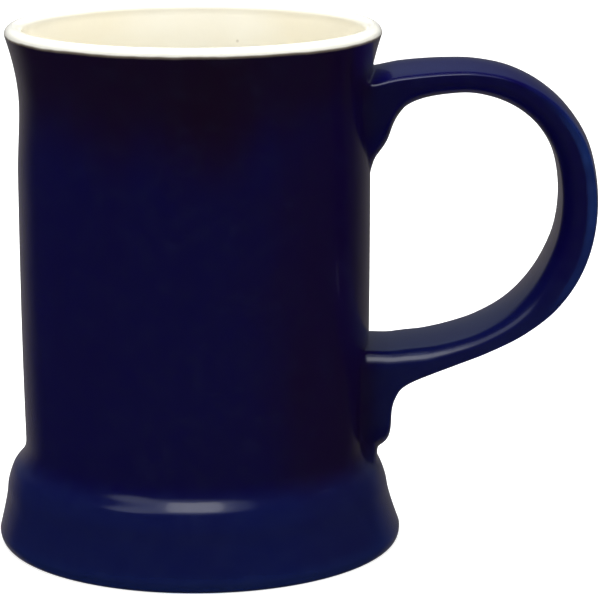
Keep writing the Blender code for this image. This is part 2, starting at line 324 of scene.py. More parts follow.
class MugShape(bpy.types.PropertyGroup):
    """The sizes of the mug."""

    height: size_property("Height", "From the table to the rim", CAD_HIGH.z - CAD_LOW.z)
    lip_radius: size_property("Lip Radius", "Outside radius of the flared lip", 0.0499)
    neck_radius: size_property("Neck Radius", "Outside radius of the neck under the lip", 0.0463)
    neck_depth: size_property("Neck Depth", "From the rim down to the neck", 0.0215)
    wall_radius: size_property("Wall Radius", "Outside radius at the top of the straight wall", 0.0470)
    wall_depth: size_property("Wall Depth", "From the rim down to the top of the straight wall", 0.040)
    wall_bottom_radius: size_property(
        "Wall Bottom Radius", "Outside radius of the wall above the foot", 0.0463)
    wall_thickness: size_property("Wall Thickness", "Thickness of the wall and of the rim", 0.0046)
    foot_height: size_property("Foot Height", "Height at which the wall meets the foot", 0.0270)
    foot_radius: size_property("Foot Radius", "Widest radius of the foot", 0.0546)
    shoulder_radius: size_property("Shoulder Radius", "Radius of the foot's rounded shoulder", 0.0504)
    shoulder_height: size_property("Shoulder Height", "Height of the foot's shoulder", 0.0193)
    waist_radius: size_property("Waist Radius", "Radius halfway down the foot", 0.0520)
    waist_height: size_property("Waist Height", "Height halfway down the foot", 0.0125)
    toe_rounding: size_property("Toe Rounding", "Rounding of the foot's lower edge", 0.0028)
    ring_width: size_property("Foot Ring Width", "Width of the ring that the mug stands on", 0.0070)
    ring_height: size_property("Foot Ring Height", "Depth of the recess inside the foot ring", 0.0030)
    floor_thickness: size_property("Floor Thickness", "Thickness of the mug's floor", 0.0070)
    floor_rounding: size_property(
        "Floor Rounding", "Rounding between the floor and the wall inside", 0.0100)
    handle_reach: size_property("Handle Reach", "From the wall to the outside of the handle", 0.06115)
    handle_width: size_property("Handle Width", "Width of the strap at its roots", 0.0300)
    handle_thickness: size_property("Handle Thickness", "Thickness of the strap at its grip", 0.0102)
    handle_drop: size_property("Handle Drop", "From the rim down to the middle of the upper arm", 0.0135)
    handle_rise: size_property(
        "Handle Rise", "From the top of the foot up to the middle of the lower arm", 0.0235)
    upper_tail: size_property("Upper Tail", "Length of the tail under the upper arm", 0.0162)
    lower_tail: size_property("Lower Tail", "Length of the tail under the lower arm", 0.0206)
    steps_around: IntProperty(
        name="Steps Around", description="Faces around the turned body", default=192, min=48, max=256)
    sag: size_property("Sag", "How far the fired surface strays from the true shape", 0.00008)
    foot_drift: size_property(
        "Foot Drift", "How far the foot's lower edge stands off the axis, towards the handle", 0.0010)


class MugGlazes(bpy.types.PropertyGroup):
    """The colours of the mug's coats."""

    deep_cobalt: colour_property(
        "Deep Cobalt", "The blue glaze where it lies thick", (0.0018, 0.0010, 0.0360))
    plum: colour_property(
        "Plum", "The blue glaze where iron from the clay darkens it", (0.0062, 0.0008, 0.0070))
    # Bright cobalt also paints reflections low on the foot and along the grip's corners, and light on the
    # lower arm
    bright_cobalt: colour_property(
        "Bright Cobalt", "The blue glaze where it lies thin", (0.0060, 0.0220, 0.1150))
    cream: colour_property("Cream", "The glaze inside the mug", (0.92, 0.905, 0.815))
    clay: colour_property("Clay", "The bare fired clay of the foot ring", (0.46, 0.40, 0.31))
    gloss_roughness: FloatProperty(
        name="Gloss Roughness", description="Roughness of the glaze's shine", default=0.10, min=0.0, max=1.0)


def arc(centre, radii, start, end, steps):
    """Points of an ellipse about centre, with radii out and up, from one angle to another in degrees."""
    points = []
    for step in range(steps + 1):
        angle = math.radians(start + (end - start) * step / steps)
        points.append((centre[0] + radii[0] * math.cos(angle), centre[1] + radii[1] * math.sin(angle)))
    return points


def line(start, end, steps):
    """Points of a straight line, without its first."""
    points = []
    for step in range(1, steps + 1):
        share = step / steps
        points.append(tuple(a + (b - a) * share for a, b in zip(start, end)))
    return points


def smooth_curve(points, steps):
    """A curve through all the points, of any number of values each, with some steps between each two."""
    first = tuple(2 * a - b for a, b in zip(points[0], points[1]))
    last = tuple(2 * a - b for a, b in zip(points[-1], points[-2]))
    padded = [first, *points, last]
    curve = []
    for index in range(1, len(padded) - 2):
        before, start, end, after = padded[index - 1:index + 3]
        for step in range(steps):
            t = step / steps
            curve.append(tuple(spline_value(t, *values) for values in zip(before, start, end, after)))
    curve.append(tuple(points[-1]))
    return curve


def spline_value(t, before, start, end, after):
    slope = (end - before) * t
    bend = (2 * before - 5 * start + 4 * end - after) * t ** 2
    twist = (3 * start - before - 3 * end + after) * t ** 3
    return (2 * start + slope + bend + twist) / 2


def softened(points, passes):
    """The points with their small kinks rounded off, its ends kept."""
    for _ in range(passes):
        inner = []
        for before, point, after in zip(points, points[1:], points[2:]):
            inner.append(tuple((a + 2 * b + c) / 4 for a, b, c in zip(before, point, after)))
        points = [points[0], *inner, points[-1]]
    return points


def rim_outline(shape):
    """The half-round rim from its inside to its outside."""
    half = shape.wall_thickness / 2
    return arc((shape.lip_radius - half, shape.height - half), (half, half), 180, 0, RIM_STEPS)


def outside_outline(shape):
    """The outside from under the rim down to the foot's toe, each point as a radius and a height."""
    widest = shape.height - shape.wall_thickness / 2
    neck = shape.height - shape.neck_depth
    wall_top = shape.height - shape.wall_depth
    points = [(shape.lip_radius, widest)]
    for step in range(1, FLARE_STEPS + 1):
        share = 1 - step / FLARE_STEPS
        radius = shape.neck_radius + (shape.lip_radius - shape.neck_radius) * share ** LIP_FLARE_POWER
        points.append((radius, neck + (widest - neck) * share))
    for step in range(1, EASE_STEPS + 1):
        share = step / EASE_STEPS
        eased = share * share * (3 - 2 * share)
        radius = shape.neck_radius + (shape.wall_radius - shape.neck_radius) * eased
        points.append((radius, neck + (wall_top - neck) * share))
    for step in range(1, WALL_STEPS + 1):
        share = step / WALL_STEPS
        drawn_in = (shape.wall_bottom_radius - shape.wall_radius) * share ** WALL_TAPER_POWER
        points.append((shape.wall_radius + drawn_in, wall_top + (shape.foot_height - wall_top) * share))
    points += smooth_curve(foot_knots(shape), KNOT_STEPS)[1:]
    return softened(points, SMOOTH_PASSES)


def foot_knots(shape):
    """The points that the foot's shoulder, waist and flare pass through."""
    step_out = shape.shoulder_radius - shape.wall_bottom_radius
    step_down = shape.foot_height - shape.shoulder_height
    below_shoulder = shape.shoulder_radius + WAIST_BULGE_SHARE * (shape.waist_radius - shape.shoulder_radius)
    below_waist = shape.waist_radius + TOE_BULGE_SHARE * (shape.foot_radius - shape.waist_radius)
    knots = [(shape.wall_bottom_radius, shape.foot_height)]
    for out, down in SHOULDER_SWELL:
        knots.append((shape.wall_bottom_radius + out * step_out, shape.foot_height - down * step_down))
    knots += [
        (shape.shoulder_radius, shape.shoulder_height),
        (below_shoulder, (shape.shoulder_height + shape.waist_height) / 2),
        (shape.waist_radius, shape.waist_height),
        (below_waist, (shape.waist_height + shape.toe_rounding) / 2),
        (shape.foot_radius, shape.toe_rounding),
    ]
    return knots


def underside_outline(shape):
    """The toe, the foot ring's resting face and the recess inside it, ending on the axis."""
    toe_out = shape.toe_rounding / 2
    ring_outer = shape.foot_radius - toe_out
    ring_inner = ring_outer - shape.ring_width
    recess_edge = (ring_inner - 2 * RING_ROUNDING, shape.ring_height)
    toe = arc((ring_outer, shape.toe_rounding), (toe_out, shape.toe_rounding), 0, -90, TOE_STEPS)[1:]
    face = line((ring_outer, 0.0), (ring_inner, 0.0), RING_STEPS)
    rounding = arc((ring_inner, RING_ROUNDING), (RING_ROUNDING, RING_ROUNDING), -90, -180, TOE_STEPS)[1:]
    slope = line(rounding[-1], recess_edge, RING_STEPS)
    recess = line(recess_edge, (0.0, shape.ring_height), RECESS_STEPS)
    return toe, face, softened(rounding + slope + recess, SMOOTH_PASSES)


def inside_outline(shape):
    """The inside from the middle of the floor up to the rim."""
    floor = shape.ring_height + shape.floor_thickness
    neck = shape.height - shape.neck_depth
    wall_top = shape.height - shape.wall_depth
    bottom_radius = shape.wall_bottom_radius - shape.wall_thickness
    neck_radius = shape.neck_radius - shape.wall_thickness
    mouth_radius = shape.lip_radius - shape.wall_thickness
    rounding = shape.floor_rounding
    corner = (bottom_radius - rounding, floor + rounding)
    points = [(0.0, floor)]
    points += line((0.0, floor), (corner[0], floor), FLOOR_STEPS)
    points += arc(corner, (rounding, rounding), -90, 0, FLOOR_ROUND_STEPS)[1:]
    points += line(points[-1], (shape.wall_radius - shape.wall_thickness, wall_top), INSIDE_STEPS)
    points += line(points[-1], (neck_radius, neck), EASE_STEPS)
    for step in range(1, FLARE_STEPS):
        share = step / FLARE_STEPS
        radius = neck_radius + (mouth_radius - neck_radius) * share ** LIP_FLARE_POWER
        points.append((radius, neck + (shape.height - shape.wall_thickness / 2 - neck) * share))
    return softened(points, SMOOTH_PASSES)


def body_profile(shape):
    """The whole profile with the coat on each point, from the floor's middle round to the recess's middle."""
    toe, face, recess = underside_outline(shape)
    rim = rim_outline(shape)
    crest = len(rim) // 2
    profile = [(point, CREAM) for point in inside_outline(shape) + rim[:crest + 1]]
    profile += [(point, COBALT) for point in rim[crest + 1:] + outside_outline(shape)[1:] + toe[:-1]]
    profile += [(point, BARE) for point in toe[-1:] + face]
    profile += [(point, COBALT) for point in recess]
    return profile


class Wall:
    """The outside wall, which gives places by height, by distance down it and by angle."""

    def __init__(self, shape):
        self.outline = outside_outline(shape)
        self.flat_radius = shape.wall_radius
        self.lengths = [0.0]
        for (radius, height), (next_radius, next_height) in zip(self.outline, self.outline[1:]):
            self.lengths.append(self.lengths[-1] + math.hypot(next_radius - radius, next_height - height))

    def at_height(self, height):
        """Radius, and distance down the wall, at a height."""
        for index, (radius, upper) in enumerate(self.outline[:-1]):
            next_radius, lower = self.outline[index + 1]
            if lower <= height <= upper:
                share = (upper - height) / (upper - lower)
                length = self.lengths[index] + (self.lengths[index + 1] - self.lengths[index]) * share
                return radius + (next_radius - radius) * share, length
        raise ValueError("the handle reaches past the wall")

    def flat(self, point):
        """A point on the wall laid flat: around it and down it."""
        return Vector((math.atan2(point.y, point.x) * self.flat_radius, self.at_height(point.z)[1]))

    def place(self, flat):
        """The point of the wall for a place on the flat."""
        index = 0
        while index < len(self.lengths) - 2 and self.lengths[index + 1] < flat.y:
            index += 1
        share = (flat.y - self.lengths[index]) / (self.lengths[index + 1] - self.lengths[index])
        radius, height = (a + (b - a) * share for a, b in zip(self.outline[index], self.outline[index + 1]))
        angle = flat.x / self.flat_radius
        return Vector((radius * math.cos(angle), radius * math.sin(angle), height))

    def meet(self, point):
        """Where a level line along X from a point meets the wall, laid flat."""
        radius, length = self.at_height(point.z)
        return Vector((math.asin(point.y / radius) * self.flat_radius, length))


def placed_cut(shape, cut, tail_length):
    """A cut in metres: the strap's outer and inner points with its tail, the tail's share, width and dome."""
    out, up, lean, thickness, tail = cut
    wall = shape.wall_radius + (shape.neck_radius - shape.wall_radius) * up
    low = shape.foot_height + shape.handle_rise
    high = shape.height - shape.handle_drop
    reach = shape.handle_reach - shape.handle_thickness / 2
    middle = Vector((wall + out * reach, low + up * (high - low)))
    across = Vector((math.sin(math.radians(lean)), math.cos(math.radians(lean))))
    half = shape.handle_thickness * thickness / 2
    outer = middle + across * half
    inner = middle - across * half
    if up > 0.5:
        drawn = out ** UPPER_DRAW_POWER
        flattened = drawn
        inner = inner - across * tail_length * tail
    else:
        drawn = out ** LOWER_DRAW_POWER
        flattened = 1.0
        outer = outer + across * tail_length * tail
    width = shape.handle_width * (1 - GRIP_NARROWING * drawn)
    dome = OUTER_DOME * (1 - GRIP_FLATTENING * flattened)
    return (*outer, *inner, tail, width, dome)


def wiped(points):
    """A corner's points drawn towards the straight line between its ends."""
    flat = [points[0], *line(points[0], points[-1], len(points) - 1)]
    drawn = []
    for point, chord in zip(points, flat):
        drawn.append(tuple(b + (a - b) * WIPED_ROUNDNESS for a, b in zip(point, chord)))
    return drawn


def section(width, depth, dome, outer_corner, inner_corner):
    """A cut's outline as (sideways, outwards, thinness) values: a rounded box with domed faces. The thinness,
    highest on the outer corners' rounding, marks thin glaze and a painted reflection there.
    """
    half_width = width / 2
    half_depth = depth / 2
    corners = ((1, 1, outer_corner), (-1, 1, outer_corner), (-1, -1, inner_corner), (1, -1, inner_corner))
    arcs = []
    for index, (side, face, corner) in enumerate(corners):
        centre = (side * (half_width - corner), face * (half_depth - corner))
        points = arc(centre, (corner, corner), 90 * index, 90 * index + 90, CORNER_STEPS)
        arcs.append(points if face > 0 else wiped(points))
    outline = []
    for index, points in enumerate(arcs):
        following = arcs[(index + 1) % len(arcs)]
        steps = FACE_STEPS if index % 2 == 0 else SIDE_STEPS
        outline += points
        outline += line(points[-1], following[0], steps)[:-1]
    domed = []
    for side, out in outline:
        drop = dome if out > 0 else INNER_DOME
        # Nearness to the outer corner's rounding, where the glaze thins and a reflection is painted
        away = abs(math.hypot(half_width - abs(side), half_depth - out) - THIN_AND_SHEEN_PLACE)
        thinness = max(0.0, 1 - away / THIN_AND_SHEEN_REACH)
        domed.append((side, out * (1 - drop / half_depth * (side / half_width) ** 2), thinness))
    return domed


def strap_section(width, depth, dome, tail, upper):
    """The section with a rounder corner on the side where the tail hangs."""
    limit = CORNER_SHARE * min(width, depth)
    outer_tail, inner_tail = (0.0, tail) if upper else (tail, 0.0)
    outer_corner = min(OUTER_CORNER + (TAIL_CORNER - OUTER_CORNER) * outer_tail, limit)
    inner_corner = min(INNER_CORNER + (TAIL_CORNER - INNER_CORNER) * inner_tail, limit)
    return section(width, depth, dome, outer_corner, inner_corner)


def handle_rings(shape):
    """The strap's rings from root to root, and how near each point of a ring is to an outer corner."""
    middle = len(HANDLE_CUTS) // 2
    cuts = []
    for index, cut in enumerate(HANDLE_CUTS):
        cuts.append(placed_cut(shape, cut, shape.upper_tail if index < middle else shape.lower_tail))
    curve = smooth_curve(cuts, CUT_STEPS)
    rings = []
    for index, (outer_x, outer_z, inner_x, inner_z, tail, width, dome) in enumerate(curve):
        outer = Vector((outer_x, outer_z))
        inner = Vector((inner_x, inner_z))
        inner = inner + (inner - outer).normalized() * INNER_SWELL
        centre = (outer + inner) / 2
        across = (outer - inner).normalized()
        depth = (outer - inner).length
        ring = []
        upper = index < len(curve) / 2
        narrowing = TAIL_NARROWING[0] if upper else TAIL_NARROWING[1]
        for side, out, thinness in strap_section(width, depth, dome, max(tail, 0.0), upper):
            point = centre + across * out
            down = 0.5 - out / depth if upper else 0.5 + out / depth
            ring.append((Vector((point.x, side * (1 - narrowing * tail * down), point.y)), thinness))
        rings.append(ring)
    thin = [thinness for _, thinness in rings[len(rings) // 2]]
    return [[point for point, _ in ring] for ring in rings], thin


def along(path, distance):
    """The point at a distance along a path of points, and the direction there."""
    for start, end in zip(path, path[1:]):
        length = (end - start).length
        if distance <= length:
            return start + (end - start) * (distance / length), (end - start).normalized()
        distance -= length
    return path[-1].copy(), (path[-1] - path[-2]).normalized()


def path_length(path):
    return sum((end - start).length for start, end in zip(path, path[1:]))


def loop_normal(loop, index, centre):
    """The way out of a flat loop at one of its points."""
    before = loop[index - 1]
    after = loop[(index + 1) % len(loop)]
    tangent = (after - before).normalized()
    normal = Vector((tangent.y, -tangent.x))
    return normal if normal.dot(loop[index] - centre) > 0 else -normal


def drawn_clay(foot, foot_way, lean_on, lean_way, corner, hug):
    """A rounded strip from the wall to the handle, smooth with both."""
    first = foot + foot_way * (corner - foot).length * hug
    second = lean_on + lean_way * (corner - lean_on).length * hug
    points = []
    for step in range(FILLET_STEPS + 1):
        t = step / FILLET_STEPS
        near = (1 - t) ** 3 * foot + 3 * t * (1 - t) ** 2 * first
        far = 3 * t * t * (1 - t) * second + t ** 3 * lean_on
        points.append(near + far)
    return points


def root_rows(wall, rings, which):
    """The rows of points from the wall out to the last of the rings, and the first row's places on the flat.

    Each place comes with others a little further out, where the wall is already itself.
    """
    meet = [wall.meet(point) for point in rings[0]]
    centre = sum(meet, Vector((0, 0))) / len(meet)
    rails = []
    flats = []
    for index, place in enumerate(meet):
        normal = loop_normal(meet, index, centre)
        size = FILLET_BESIDE[which] * normal.x ** 2
        hug = FILLET_HUG_BESIDE
        if normal.y < 0:
            size += FILLET_ABOVE[which] * normal.y ** 2
            size += FILLET_CORNER[which] * (2 * normal.x * normal.y) ** 2
        else:
            size += FILLET_UNDER[which] * normal.y ** 2
            hug += (FILLET_HUG_UNDER - FILLET_HUG_BESIDE) * normal.y ** 2
        lean = FILLET_LEAN_BESIDE * normal.x ** 2 + size * FILLET_LEAN_SHARE * normal.y ** 2
        flat = place + normal * size
        foot = wall.place(flat)
        foot_way = (wall.place(flat - normal * size * SLOPE_SHARE) - foot).normalized()
        corner = wall.place(place)
        path = [corner] + [ring[index] for ring in rings]
        total = path_length(path)
        lean_on, way = along(path, lean)
        rail = drawn_clay(foot, foot_way, lean_on, -way, corner, hug)
        for step in range(1, ROOT_STEPS + 1):
            rail.append(along(path, lean + (total - lean) * step / ROOT_STEPS)[0])
        rail[-1] = rings[-1][index].copy()
        kept = rail[:2]
        smooth = softened([tuple(point) for point in rail[1:]], SMOOTH_PASSES)
        rails.append(kept + [Vector(point) for point in smooth[1:]])
        flats.append([flat] + [flat + normal * border for border in ROOT_BORDERS])
    return [list(row) for row in zip(*rails)], flats


def handle_rows(shape, wall):
    """All rows of the handle from its upper root's edge on the wall to its lower root's."""
    rings, thin = handle_rings(shape)
    reach = ROOT_CUTS * CUT_STEPS
    upper, upper_flat = root_rows(wall, rings[:reach + 1], 0)
    lower, lower_flat = root_rows(wall, rings[:-reach - 2:-1], 1)
    rows = upper + rings[reach + 1:-reach - 1] + lower[::-1]
    return rows, thin, (upper_flat, lower_flat)


def feed(tree, socket, value):
    """Links a socket to another, or gives it a plain value."""
    if isinstance(value, bpy.types.NodeSocket):
        tree.links.new(value, socket)
    else:
        socket.default_value = value


def add_node(tree, kind, settings=None, inputs=None):
    """A node with its settings and its inputs, by name or number."""
    node = tree.nodes.new(kind)
    for name, value in (settings or {}).items():
        setattr(node, name, value)
    for name, value in (inputs or {}).items():
        feed(tree, node.inputs[name], value)
    return node


def calculate(tree, operation, *values):
    node = add_node(tree, "ShaderNodeMath", {"operation": operation})
    for socket, value in zip(node.inputs, values):
        feed(tree, socket, value)
    return node.outputs[0]


def times(tree, product, *others):
    """The product of all the values."""
    for other in others:
        product = calculate(tree, "MULTIPLY", product, other)
    return product


def plus(tree, total, *others):
    """The sum of all the values."""
    for other in others:
        total = calculate(tree, "ADD", total, other)
    return total


def split(tree, vector):
    """The X, Y and Z of a vector."""
    return add_node(tree, "ShaderNodeSeparateXYZ", None, {0: vector}).outputs


def off_axis(tree, parts):
    """How far a place is from the upright axis."""
    squares = plus(tree, calculate(tree, "POWER", parts["X"], 2), calculate(tree, "POWER", parts["Y"], 2))
    return calculate(tree, "SQRT", squares)


def add_sockets(tree, way, sockets):
    """Named sockets on a tree: each has a name and a kind."""
    for name, kind in sockets:
        tree.interface.new_socket(name, in_out=way, socket_type=kind)


def set_input(modifier, name, value):
    """Sets a modifier's input by the identifier of the socket with that name."""
    for item in modifier.node_group.interface.items_tree:
        if item.item_type == "SOCKET" and item.in_out == "INPUT" and item.name == name:
            modifier[item.identifier] = value
            return
    raise KeyError(f"no input named {name}")


def plain_mesh(thing, name):
    """The evaluated object as a plain mesh of its own."""
    bpy.context.view_layer.update()
    evaluated = thing.evaluated_get(bpy.context.evaluated_depsgraph_get())
    mesh = bpy.data.meshes.new_from_object(evaluated)
    mesh.name = name
    return mesh


def between(tree, value, low, high):
    """One where a value lies between two others."""
    above = calculate(tree, "GREATER_THAN", value, low)
    below = calculate(tree, "LESS_THAN", value, high)
    return times(tree, above, below)


def turning_tree():
    """Turns a profile about the axis, closes it, and opens a window for each root of the handle."""
    tree = bpy.data.node_groups.new("turned body", "GeometryNodeTree")
    add_sockets(tree, "INPUT", (
        ("Profile", "NodeSocketGeometry"),
        ("Steps Around", "NodeSocketInt"),
        ("Merge Distance", "NodeSocketFloat"),
        ("Inside Radius", "NodeSocketFloat"),
        ("Window Angle", "NodeSocketFloat"),
        ("Upper Window Low", "NodeSocketFloat"),
        ("Upper Window High", "NodeSocketFloat"),
        ("Lower Window Low", "NodeSocketFloat"),
        ("Lower Window High", "NodeSocketFloat"),
        ("Glaze", "NodeSocketMaterial"),
    ))
    add_sockets(tree, "OUTPUT", (("Body", "NodeSocketGeometry"),))
    given = add_node(tree, "NodeGroupInput").outputs
    size = add_node(
        tree, "GeometryNodeAttributeDomainSize", {"component": "MESH"}, {"Geometry": given["Profile"]})
    rows = size.outputs["Point Count"]
    columns = plus(tree, given["Steps Around"], 1)
    grid = add_node(tree, "GeometryNodeMeshGrid", None, {"Vertices X": columns, "Vertices Y": rows})
    index = add_node(tree, "GeometryNodeInputIndex").outputs[0]
    column = calculate(tree, "FLOOR", calculate(tree, "DIVIDE", plus(tree, index, 0.5), rows))
    row = calculate(tree, "SUBTRACT", index, times(tree, column, rows))
    position = add_node(tree, "GeometryNodeInputPosition").outputs[0]
    place = add_node(
        tree, "GeometryNodeSampleIndex", {"data_type": "FLOAT_VECTOR"},
        {"Geometry": given["Profile"], "Value": position, "Index": row})
    coat = add_node(tree, "GeometryNodeInputNamedAttribute", {"data_type": "FLOAT"}, {"Name": "coat"})
    coat_there = add_node(
        tree, "GeometryNodeSampleIndex", {"data_type": "FLOAT"},
        {"Geometry": given["Profile"], "Value": coat.outputs["Attribute"], "Index": row})
    parts = split(tree, place.outputs[0])
    turn = calculate(tree, "DIVIDE", times(tree, column, math.tau), given["Steps Around"])
    turned = add_node(tree, "ShaderNodeCombineXYZ", None, {
        "X": times(tree, parts["X"], calculate(tree, "COSINE", turn)),
        "Y": times(tree, parts["X"], calculate(tree, "SINE", turn)),
        "Z": parts["Z"],
    })
    placed = add_node(
        tree, "GeometryNodeSetPosition", None,
        {"Geometry": grid.outputs["Mesh"], "Position": turned.outputs[0]})
    coated = add_node(
        tree, "GeometryNodeStoreNamedAttribute", {"data_type": "FLOAT", "domain": "POINT"},
        {"Geometry": placed.outputs[0], "Name": "coat", "Value": coat_there.outputs[0]})
    closed = add_node(
        tree, "GeometryNodeMergeByDistance", None,
        {"Geometry": coated.outputs[0], "Distance": given["Merge Distance"]})
    spot = split(tree, position)
    angle = calculate(tree, "ABSOLUTE", calculate(tree, "ARCTAN2", spot["Y"], spot["X"]))
    outside = calculate(tree, "GREATER_THAN", off_axis(tree, spot), given["Inside Radius"])
    upper = between(tree, spot["Z"], given["Upper Window Low"], given["Upper Window High"])
    lower = between(tree, spot["Z"], given["Lower Window Low"], given["Lower Window High"])
    near = calculate(tree, "LESS_THAN", angle, given["Window Angle"])
    window = times(tree, near, outside, plus(tree, upper, lower))
    opened = add_node(
        tree, "GeometryNodeDeleteGeometry", {"domain": "FACE"},
        {"Geometry": closed.outputs[0], "Selection": window})
    real = add_node(tree, "GeometryNodeRealizeInstances", None, {"Geometry": opened.outputs[0]})
    glazed = add_node(
        tree, "GeometryNodeSetMaterial", None, {"Geometry": real.outputs[0], "Material": given["Glaze"]})
    end = add_node(tree, "NodeGroupOutput")
    feed(tree, end.inputs["Body"], glazed.outputs[0])
    return tree


def firing_tree():
    """Lets the surface stray a little, as fired clay does, and gives each coat its material."""
    tree = bpy.data.node_groups.new("fired surface", "GeometryNodeTree")
    add_sockets(tree, "INPUT", (
        ("Clay", "NodeSocketGeometry"),
        ("Sag", "NodeSocketFloat"),
        ("Sag Scale", "NodeSocketFloat"),
        ("Foot Drift", "NodeSocketFloat"),
        ("Foot Height", "NodeSocketFloat"),
        ("Seed", "NodeSocketFloat"),
        ("Cobalt Glaze", "NodeSocketMaterial"),
        ("Cream Glaze", "NodeSocketMaterial"),
        ("Bare Clay", "NodeSocketMaterial"),
    ))
    add_sockets(tree, "OUTPUT", (("Mug", "NodeSocketGeometry"),))
    given = add_node(tree, "NodeGroupInput").outputs
    strays = add_node(
        tree, "ShaderNodeTexNoise", {"noise_dimensions": "4D"},
        {"W": given["Seed"], "Scale": given["Sag Scale"], "Detail": 1.0})
    depth = times(tree, strays.outputs[0], given["Sag"], -1.0)
    normal = add_node(tree, "GeometryNodeInputNormal").outputs[0]
    offset = add_node(tree, "ShaderNodeVectorMath", {"operation": "SCALE"}, {0: normal, "Scale": depth})
    place = add_node(tree, "GeometryNodeInputPosition").outputs[0]
    height = split(tree, place)["Z"]
    lowness = add_node(
        tree, "ShaderNodeMapRange", None,
        {"Value": height, "From Min": given["Foot Height"], "From Max": 0.0, "To Min": 0.0, "To Max": 1.0})
    drift = times(tree, calculate(tree, "POWER", lowness.outputs[0], 2), given["Foot Drift"])
    aside = add_node(tree, "ShaderNodeCombineXYZ", None, {"X": drift}).outputs[0]
    offset = add_node(tree, "ShaderNodeVectorMath", {"operation": "ADD"}, {0: offset.outputs[0], 1: aside})
    moved = add_node(
        tree, "GeometryNodeSetPosition", None, {"Geometry": given["Clay"], "Offset": offset.outputs[0]})
    shaded = add_node(tree, "GeometryNodeSetShadeSmooth", None, {"Geometry": moved.outputs[0]})
    result = add_node(tree, "GeometryNodeRealizeInstances", None, {"Geometry": shaded.outputs[0]}).outputs[0]
    coat = add_node(tree, "GeometryNodeInputNamedAttribute", {"data_type": "FLOAT"}, {"Name": "coat"})
    there = coat.outputs["Attribute"]
    choices = (
        (given["Cobalt Glaze"], True),
        (given["Cream Glaze"], calculate(tree, "GREATER_THAN", there, COAT_LIMIT * CREAM)),
        (given["Bare Clay"], calculate(tree, "LESS_THAN", there, COAT_LIMIT * BARE)),
    )
    for material, where in choices:
        node = add_node(
            tree, "GeometryNodeSetMaterial", None,
            {"Geometry": result, "Selection": where, "Material": material})
        result = node.outputs[0]
    end = add_node(tree, "NodeGroupOutput")
    feed(tree, end.inputs["Mug"], result)
    return tree


def axis_place(shape):
    """Where the body's axis stands on X, in the frame of the solid."""
    return CAD_LOW.x + shape.foot_radius


def turn_body(shape, flats, wall, glaze):
    """The turned body as a plain mesh, with a window left open round each root."""
    profile = body_profile(shape)
    outline = bpy.data.meshes.new("profile")
    outline.from_pydata([(radius, 0.0, height) for (radius, height), _ in profile], [], [])
    outline.attributes.new("coat", "FLOAT", "POINT").data.foreach_set("value", [coat for _, coat in profile])
    body = bpy.data.objects.new("turned_body", outline)
    bpy.context.scene.collection.objects.link(body)
    turn = body.modifiers.new("turn", "NODES")
    turn.node_group = turning_tree()
    set_input(turn, "Steps Around", shape.steps_around)
    set_input(turn, "Merge Distance", MERGE_DISTANCE)
    set_input(turn, "Inside Radius", shape.neck_radius - shape.wall_thickness / 2)
    set_input(turn, "Glaze", glaze)
    widest = max(abs(places[0].x) for loop in flats for places in loop)
    set_input(turn, "Window Angle", (widest + WINDOW_MARGIN) / wall.flat_radius)
    for name, loop in zip(("Upper", "Lower"), flats):
        heights = [wall.place(places[0]).z for places in loop]
        set_input(turn, name + " Window Low", min(heights) - WINDOW_MARGIN)
        set_input(turn, name + " Window High", max(heights) + WINDOW_MARGIN)
    mesh = plain_mesh(body, "turned body")
    bpy.data.objects.remove(body)
    return mesh


def open_loops(clay):
    """The loops of vertices round the openings of a mesh."""
    edges = {edge for edge in clay.edges if edge.is_boundary}
    loops = []
    while edges:
        edge = edges.pop()
        loop = [edge.verts[0], edge.verts[1]]
        while True:
            following = [e for e in loop[-1].link_edges if e in edges]
            if not following:
                break
            edges.remove(following[0])
            loop.append(following[0].other_vert(loop[-1]))
        loops.append(loop[:-1])
    return loops


def inside_loop(point, loop):
    """Whether a flat point lies in a closed loop."""
    inside = False
    for start, end in zip(loop, loop[1:] + loop[:1]):
        if (start.y > point.y) != (end.y > point.y):
            cross = start.x + (point.y - start.y) / (end.y - start.y) * (end.x - start.x)
            if cross > point.x:
                inside = not inside
    return inside


def free_places(wall, edge, root, columns):
    """The body's own places within a window that stay clear of the root."""
    step = math.tau / columns * wall.flat_radius
    widest = max(flat.x for flat in edge)
    top = min(flat.y for flat in edge)
    bottom = max(flat.y for flat in edge)
    places = []
    reach = int(round(widest / step))
    for length in wall.lengths:
        if top + MERGE_DISTANCE < length < bottom - MERGE_DISTANCE:
            for column in range(1 - reach, reach):
                flat = Vector((column * step, length))
                clear = min((flat - other).length for other in root)
                if clear > CLEAR_OF_ROOT and not inside_loop(flat, root):
                    places.append(flat)
    return places


def fill_window(clay, wall, loop, root_vertices, root_places, columns):
    """Fills the wall between a window's edge and a root of the handle."""
    edge = [wall.flat(vertex.co) for vertex in loop]
    root = [places[0] for places in root_places]
    places = free_places(wall, edge, root, columns)
    places += [place for group in root_places for place in group[1:]]
    flats = edge + root + places
    count = len(edge)
    ring = [(count + index, count + (index + 1) % len(root)) for index in range(len(root))]
    vertices, _, faces, sources, _, _ = geometry.delaunay_2d_cdt(
        [flat * FLAT_SCALE for flat in flats], ring, [list(range(count))], 1, FLAT_TOLERANCE)
    own = list(loop) + list(root_vertices) + [clay.verts.new(wall.place(flat)) for flat in places]
    for face in faces:
        middle = sum((vertices[index] for index in face), Vector((0, 0))) / len(face) / FLAT_SCALE
        if not inside_loop(middle, root):
            clay.faces.new([own[sources[index][0]] for index in face])


